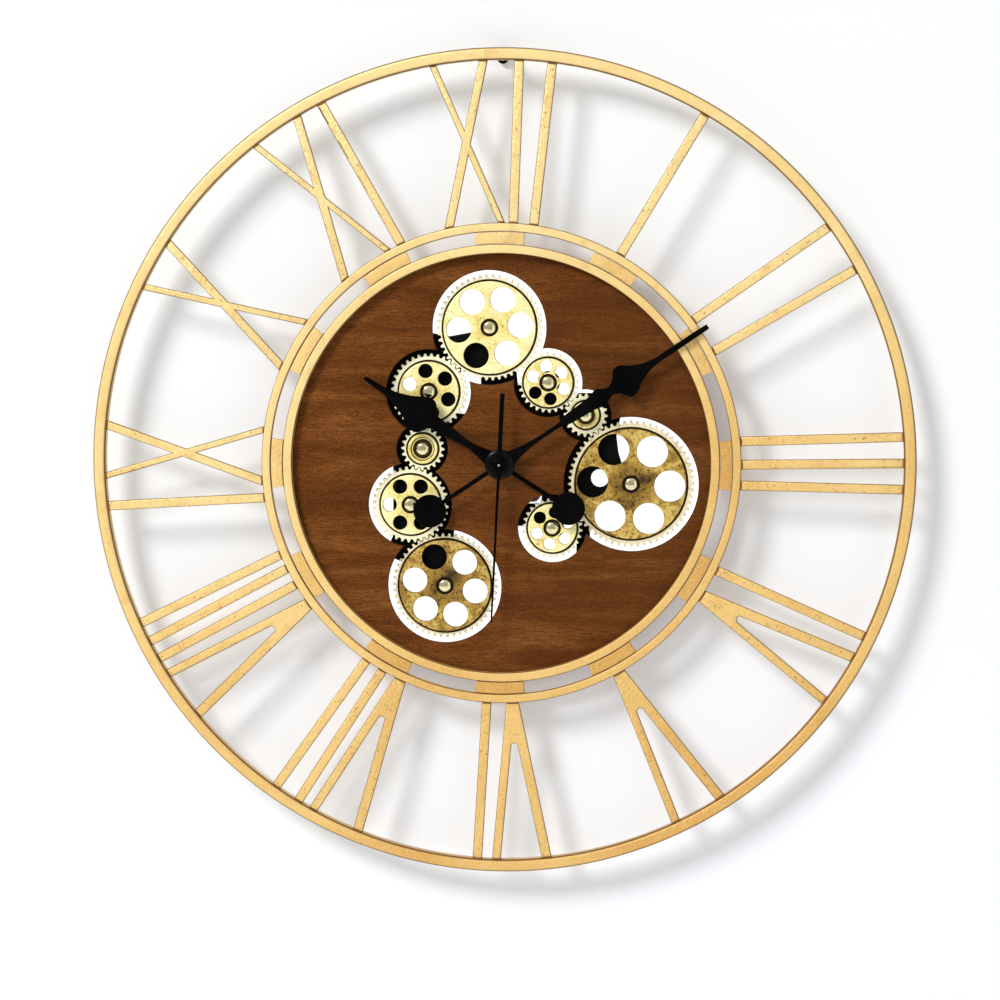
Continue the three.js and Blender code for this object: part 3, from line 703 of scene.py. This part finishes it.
def toothed(gear, shrink=0.02):
    """Outline of a gear's teeth, with slightly rounded flanks and tips."""
    module = GEAR["module"]
    pitch = module * gear["teeth"] / 2
    half = 0.218 * math.pi * module - shrink
    slope = math.tan(math.radians(20))
    heights = (-0.88 * module, -0.5 * module, 0.0, 0.38 * module, 0.62 * module, 0.7 * module)
    outline = []
    for i in range(gear["teeth"]):
        centre = gear["phase"] + TAU * i / gear["teeth"]
        side = []
        for h in heights:
            width = half - h * slope - 0.05 * max(h, 0) ** 2
            if h == heights[-1]:
                width -= 0.16
            side.append((pitch + h, width))
        for radius, width in [(r, -w) for r, w in side] + [(r, w) for r, w in reversed(side)]:
            angle = centre + width / radius
            outline.append((gear["x"] + radius * math.cos(angle), gear["z"] + radius * math.sin(angle)))
    return outline


def web_holes(gear, spare=0.0):
    if "holes" not in gear:
        return []
    radius, ring, start = gear["holes"]
    centres = [(gear["x"] + x, gear["z"] + z) for x, z in arc(0, 0, ring, start, start + 360, 6)[:-1]]
    return [circle(*centre, radius + spare, 48) for centre in centres]


def gear_piece(gear):
    """A wheel of three layers: toothed rim, sunk floor and raised web, with a groove between rim and web."""
    x, z, web = gear["x"], gear["z"], gear["web"]
    teeth = [toothed(gear), circle(x, z, web + RIM["inside"], 128)]
    floor = [circle(x, z, web + FLOOR["past_web"], 96), *web_holes(gear, FLOOR["hole_spare"])]
    layers = [plate_mesh(teeth, GEAR["back"], GEAR["rim"], RIM["edge"]),
              plate_mesh(floor, FLOOR["back"], GEAR["floor"], FLOOR["edge"])]
    if "holes" in gear:
        disc = [circle(x, z, web, 128), circle(x, z, HUB["well"], 48), *web_holes(gear)]
        layers.append(plate_mesh(disc, WEB["back"], GEAR["web"], WEB["edge"], 3))
    else:
        ring = [circle(x, z, web, 96), circle(x, z, web - WEB["small_ring"], 96)]
        layers.append(plate_mesh(ring, WEB["back"], GEAR["web"], WEB["edge"], 3))
        inner = [circle(x, z, web - WEB["step_gap"], 64), circle(x, z, HUB["small_well"], 48)]
        layers.append(plate_mesh(inner, WEB["back"], WEB["step_front"], WEB["step_edge"], 2))
    shoulder, arbor = [circle(x, z, SHOULDER["radius"], 48)], [circle(x, z, ARBOR["radius"], 32)]
    layers.append(plate_mesh(shoulder, SHOULDER["back"], SHOULDER["front"], SHOULDER["edge"]))
    layers.append(plate_mesh(arbor, ARBOR["back"], GEAR["back"], ARBOR["edge"]))
    name = f"gear_{gear['id']}"
    material = brass(f"{name}_brass", (x, z), web, TONES.get(gear["id"], PALE))
    wheel = finish_mesh(f"{name}_wheel", merged(layers), material, 30)
    node = f"train_gear_{gear['id']}"
    place(wheel, node, "brass", node)

    top, r, foot = HUB["cap_front"], HUB["cap"], GEAR["floor"] - 0.5
    dome = [(0, top), (r * 0.45, top - 0.08), (r * 0.75, top - 0.35), (r * 0.93, top - 0.85), (r, top - 1.6),
            (r, foot), (0, foot)]
    cap = finish_mesh(f"{name}_cap", lathe_mesh(dome, x, z, 48), CAP_BRASS, 50)
    cut_slot(cap, x, z, math.radians(random.uniform(0, 180)))
    place(cap, node, "brass", node)


def cut_slot(cap, x, z, turn):
    """Cuts a screwdriver slot across a cap."""
    radius, half = HUB["cap"], HUB["slot"] / 2
    c, s = math.cos(turn), math.sin(turn)
    corners = [(-radius, -half), (radius, -half), (radius, half), (-radius, half)]
    outline = [(x + u * c - v * s, z + u * s + v * c) for u, v in corners]
    bottom = HUB["cap_front"] - HUB["slot_depth"]
    cutter = bpy.data.objects.new("cutter", plate_mesh([outline], bottom, HUB["cap_front"] + 1, 0.01, 0))
    scene.collection.objects.link(cutter)
    cut = cap.modifiers.new("slot", "BOOLEAN")
    cut.operation = "DIFFERENCE"
    cut.object = cutter
    cut.solver = "EXACT"
    bpy.context.view_layer.update()
    shaped = bpy.data.meshes.new_from_object(cap.evaluated_get(bpy.context.evaluated_depsgraph_get()))
    cap.modifiers.clear()
    cap.data = shaped
    shaped.set_sharp_from_angle(angle=math.radians(40))
    bpy.data.objects.remove(cutter)


gears = place_train()
for gear in gears.values():
    gear_piece(gear)

# ---------------------------------------------------------------- walnut panel


def crossing(a, b, near):
    """Where circle a meets circle b, at the crossing closest to a point."""
    (ax, az, ar), (bx, bz, br) = a, b
    apart = math.hypot(bx - ax, bz - az)
    along = (ar * ar - br * br + apart * apart) / (2 * apart)
    off = math.sqrt(max(ar * ar - along * along, 0))
    ux, uz = (bx - ax) / apart, (bz - az) / apart
    options = [(ax + ux * along - s * uz * off, az + uz * along + s * ux * off) for s in (1, -1)]
    return min(options, key=lambda point: math.dist(point, near))


def union_outline(circles, step=math.radians(2.5)):
    """Walks round the outside of a chain of overlapping circles, each (x, z, radius)."""
    start = max(circles, key=lambda c: c[0] + c[2])
    current, angle = start, 0.0
    outline = []
    while True:
        cx, cz, radius = current
        here = (cx + radius * math.cos(angle), cz + radius * math.sin(angle))
        back_home = current == start and len(outline) > 20
        if back_home and math.dist(here, outline[0]) < radius * step * 0.9:
            return outline
        outline.append(here)
        angle += step
        ahead = (cx + radius * math.cos(angle), cz + radius * math.sin(angle))
        others = [c for c in circles if c != current]
        entered = next((c for c in others if math.dist(ahead, c[:2]) < c[2] - 1e-6), None)
        if entered:
            meet = crossing(current, entered, ahead)
            outline.append(meet)
            current = entered
            angle = math.atan2(meet[1] - current[1], meet[0] - current[0]) + step / 2


def panel():
    opening = union_outline([(g["x"], g["z"], g["clear"]) for g in gears.values()])
    loops = [circle(0, 0, PANEL["radius"], 256), opening, circle(0, 0, PANEL["shaft_hole"], 48)]
    mesh = plate_mesh(loops, PANEL["back"], PANEL["front"], PANEL["edge"], 3)
    place(finish_mesh("walnut_dial", mesh, WALNUT, 30), "frame", "walnut", "wood_panel")


panel()

# ---------------------------------------------------------------- hands


def hand(node, profile, size, body):
    """A spade hand with a round counterweight on its tail, and the glossy hub that it is riveted to."""
    right = [(half, v) for v, half in smooth(profile)]
    outline = [*right, *[(-x, v) for x, v in reversed(right)]]
    angle, back, front, tail = size["angle"], size["back"], size["front"], size["tail"]
    rod = [(-TAIL_ROD, -tail), (TAIL_ROD, -tail), (TAIL_ROD, -5), (-TAIL_ROD, -5)]
    weight = circle(*turned([(0, -tail)], angle)[0], COUNTERWEIGHT, 96)
    layers = [
        plate_mesh([turned(outline, angle)], back, front, 0.4, 3),
        plate_mesh([turned(rod, angle)], back + 2 * STAGGER, front - 2 * STAGGER, 0.4, 3),
        plate_mesh([weight], back + STAGGER, front - STAGGER, 0.5, 3),
    ]
    place(finish_mesh(f"{node}_fine", merged(layers), HAND_BLACK, 32), body, "black_hand", node)
    radius, bore, low, high = size["hub"], size["bore"], back - 2 * STAGGER, size["hub_front"]
    shoulder = front - 0.3
    rise = high - shoulder
    crown = [(radius - CROWN * (1 - u), shoulder + rise * v) for u, v in arc(0, 0, 1, 0, 90, 10)]
    boss = [(bore, low), (radius - 0.4, low), (radius, low + 0.4), *crown, (bore, high)]
    place(finish_mesh(f"{node}_hub", lathe_mesh(boss, closed=True), HUB_BLACK, 50), body, "black_hand", node)


hand("hour_hand", HOUR_PROFILE, HOUR, "hour")
hand("minute_hand", MINUTE_PROFILE, MINUTE, "minute")


def second_hand():
    """A needle with a broader tail and a turned boss."""
    pointer = [(-1.1, 0), (1.1, 0), (0.7, 110), (0.45, 115), (-0.45, 115), (-0.7, 110)]
    tail = [(-1.65, -52), (1.65, -52), (1.65, 0), (-1.65, 0)]
    angle, back, front = SECOND["angle"], SECOND["back"], SECOND["front"]
    layers = [
        plate_mesh([turned(pointer, angle)], back, front, 0.2),
        plate_mesh([turned(tail, angle)], back + STAGGER, front - STAGGER, 0.25),
        lathe_mesh(SECOND_BOSS, sides=64, closed=True),
    ]
    piece = finish_mesh("second_hand_fine", merged(layers), HAND_BLACK, 32)
    place(piece, "second", "black_hand", "second_hand")


second_hand()

# ---------------------------------------------------------------- carrier, hanger, movement and drive

# node, body, slot, material, edge radius
REFINED = [
    ("gear_carrier", "frame", "black_metal", CARRIER_BLACK, 0.25),
    ("hanger", "frame", "black_metal", CARRIER_BLACK, 0.3),
    ("carrier_screw_1", "frame", "steel", STEEL, 0.2),
    ("carrier_screw_2", "frame", "steel", STEEL, 0.2),
    ("carrier_screw_3", "frame", "steel", STEEL, 0.2),
    ("movement_case", "frame", "black_plastic", BLACK_PLASTIC, 0.5),
    ("movement_cover", "frame", "black_plastic", BLACK_PLASTIC, 0.3),
    ("drive_case", "frame", "black_plastic", BLACK_PLASTIC, 0.5),
    ("drive_cover", "frame", "black_plastic", BLACK_PLASTIC, 0.25),
    ("setting_knob", "setting", "black_plastic", BLACK_PLASTIC, 0.2),
    ("minute_wheel", "setting", "nylon", NYLON, 0.06),
    ("hour_wheel", "hour", "nylon", NYLON, 0.06),
    ("cannon_pinion", "minute", "brass_fitting", FITTING, 0.06),
    ("second_arbor", "second", "steel", STEEL, 0.15),
    ("fixing_nut", "frame", "brass_fitting", FITTING, 0.3),
    ("step_motor", "frame", "steel", STEEL, 0.4),
    ("movement_cell", "frame", "cell_wrap", CELL, 0.5),
    ("drive_cell", "frame", "cell_wrap", CELL, 0.4),
]
for row in REFINED:
    refined(*row)

# ---------------------------------------------------------------- studio


WALL = (0.71, 0.72, 0.735)
GLOW = (0.12, 0.122, 0.126)
# Sizes and places in the studio are in metres.
# The radii where the wall's painted glow behind the panel, which brightens the wall where the panel's shadow
# falls, starts to fade and where it ends.
PAINTED_GLOW_DISC = (0.143, 0.157)
# How far the wall is behind the clock's back, and the floor's height from the clock's centre.
BEHIND = 0.0006
GROUND = -0.75


def one_way(name, corners):
    """A stage sheet seen from its front only, so the clock can also be looked at from behind; it glows a
    little all over, and brightly in a painted glow disc round the clock's centre.
    """
    n = Finish(name)
    n.surface(WALL, 0.9, specular=0.0)
    away = n.add("ShaderNodeVectorMath", operation="LENGTH")
    n.link(n.coords(), away.inputs[0])
    # Painted light: the wall glows white behind the panel, over the panel's shadow.
    glow = n.ramp(n.remap(away.outputs["Value"], *PAINTED_GLOW_DISC, 0.0, 1.0), [(0.0, (1, 1, 1)), (1.0, GLOW)])
    n.link(glow, n.shader.inputs["Emission Color"])
    n.shader.inputs["Emission Strength"].default_value = 1.0
    clear = n.add("ShaderNodeBsdfTransparent")
    facing = n.add("ShaderNodeNewGeometry")
    path = n.add("ShaderNodeLightPath")
    through = n.math("MAXIMUM", facing.outputs["Backfacing"], path.outputs["Is Shadow Ray"])
    blend = n.add("ShaderNodeMixShader")
    n.link(through, blend.inputs[0])
    n.link(n.shader.outputs[0], blend.inputs[1])
    n.link(clear.outputs[0], blend.inputs[2])
    n.link(blend.outputs[0], n.tree.nodes["Material Output"].inputs["Surface"])
    mesh = bpy.data.meshes.new(name)
    mesh.from_pydata(corners, [], [range(4)])
    mesh.materials.append(n.material)
    sheet = bpy.data.objects.new(name, mesh)
    scene.collection.objects.link(sheet)


one_way("wall", [(-3, BEHIND, GROUND), (3, BEHIND, GROUND), (3, BEHIND, 3), (-3, BEHIND, 3)])
one_way("floor", [(-3, -4, GROUND), (3, -4, GROUND), (3, 4, GROUND), (-3, 4, GROUND)])


def soft_light(name, place_at, size, power):
    """A round soft light that shines on the clock's centre."""
    lamp = bpy.data.lights.new(name, "AREA")
    lamp.shape = "DISK"
    lamp.size = size
    lamp.energy = power
    holder = bpy.data.objects.new(name, lamp)
    holder.location = place_at
    holder.rotation_euler = (-Vector(place_at)).to_track_quat("-Z", "Y").to_euler()
    scene.collection.objects.link(holder)


soft_light("key", (-4.25, -5.5, 4.75), 2.5, 540)
soft_light("fill", (1.8, -2.6, 0.2), 2.0, 7)
soft_light("back_fill", (0.8, 2.4, 1.2), 1.6, 22)


def studio_sky():
    """Even grey light from all round, brighter from above."""
    world = bpy.data.worlds.new("studio")
    world.use_nodes = True
    sky = Nodes(world.node_tree)
    height = sky.remap(sky.axes("Generated")["Z"], -0.7, 0.8, 0.0, 1.0)
    shade = sky.ramp(height, [(0.0, (0.22, 0.22, 0.22)), (1.0, (0.72, 0.72, 0.72))])
    background = world.node_tree.nodes["Background"]
    sky.link(shade, background.inputs["Color"])
    background.inputs["Strength"].default_value = 0.85
    scene.world = world


studio_sky()
scene.view_settings.view_transform = "Standard"

# ---------------------------------------------------------------- camera

CAMERA = dict(distance=2.0, azimuth=4.8, elevation=4.8, lens=99.0, aim=(0.0, -0.028, -0.026))


def camera():
    data = bpy.data.cameras.new("camera")
    data.lens = CAMERA["lens"]
    data.sensor_width = 36.0
    data.clip_start, data.clip_end = 0.05, 50
    holder = bpy.data.objects.new("camera", data)
    a, e = math.radians(CAMERA["azimuth"]), math.radians(CAMERA["elevation"])
    back = Vector((math.sin(a) * math.cos(e), -math.cos(a) * math.cos(e), math.sin(e)))
    holder.location = Vector(CAMERA["aim"]) + back * CAMERA["distance"]
    holder.rotation_euler = (-back).to_track_quat("-Z", "Y").to_euler()
    scene.collection.objects.link(holder)
    scene.camera = holder


camera()
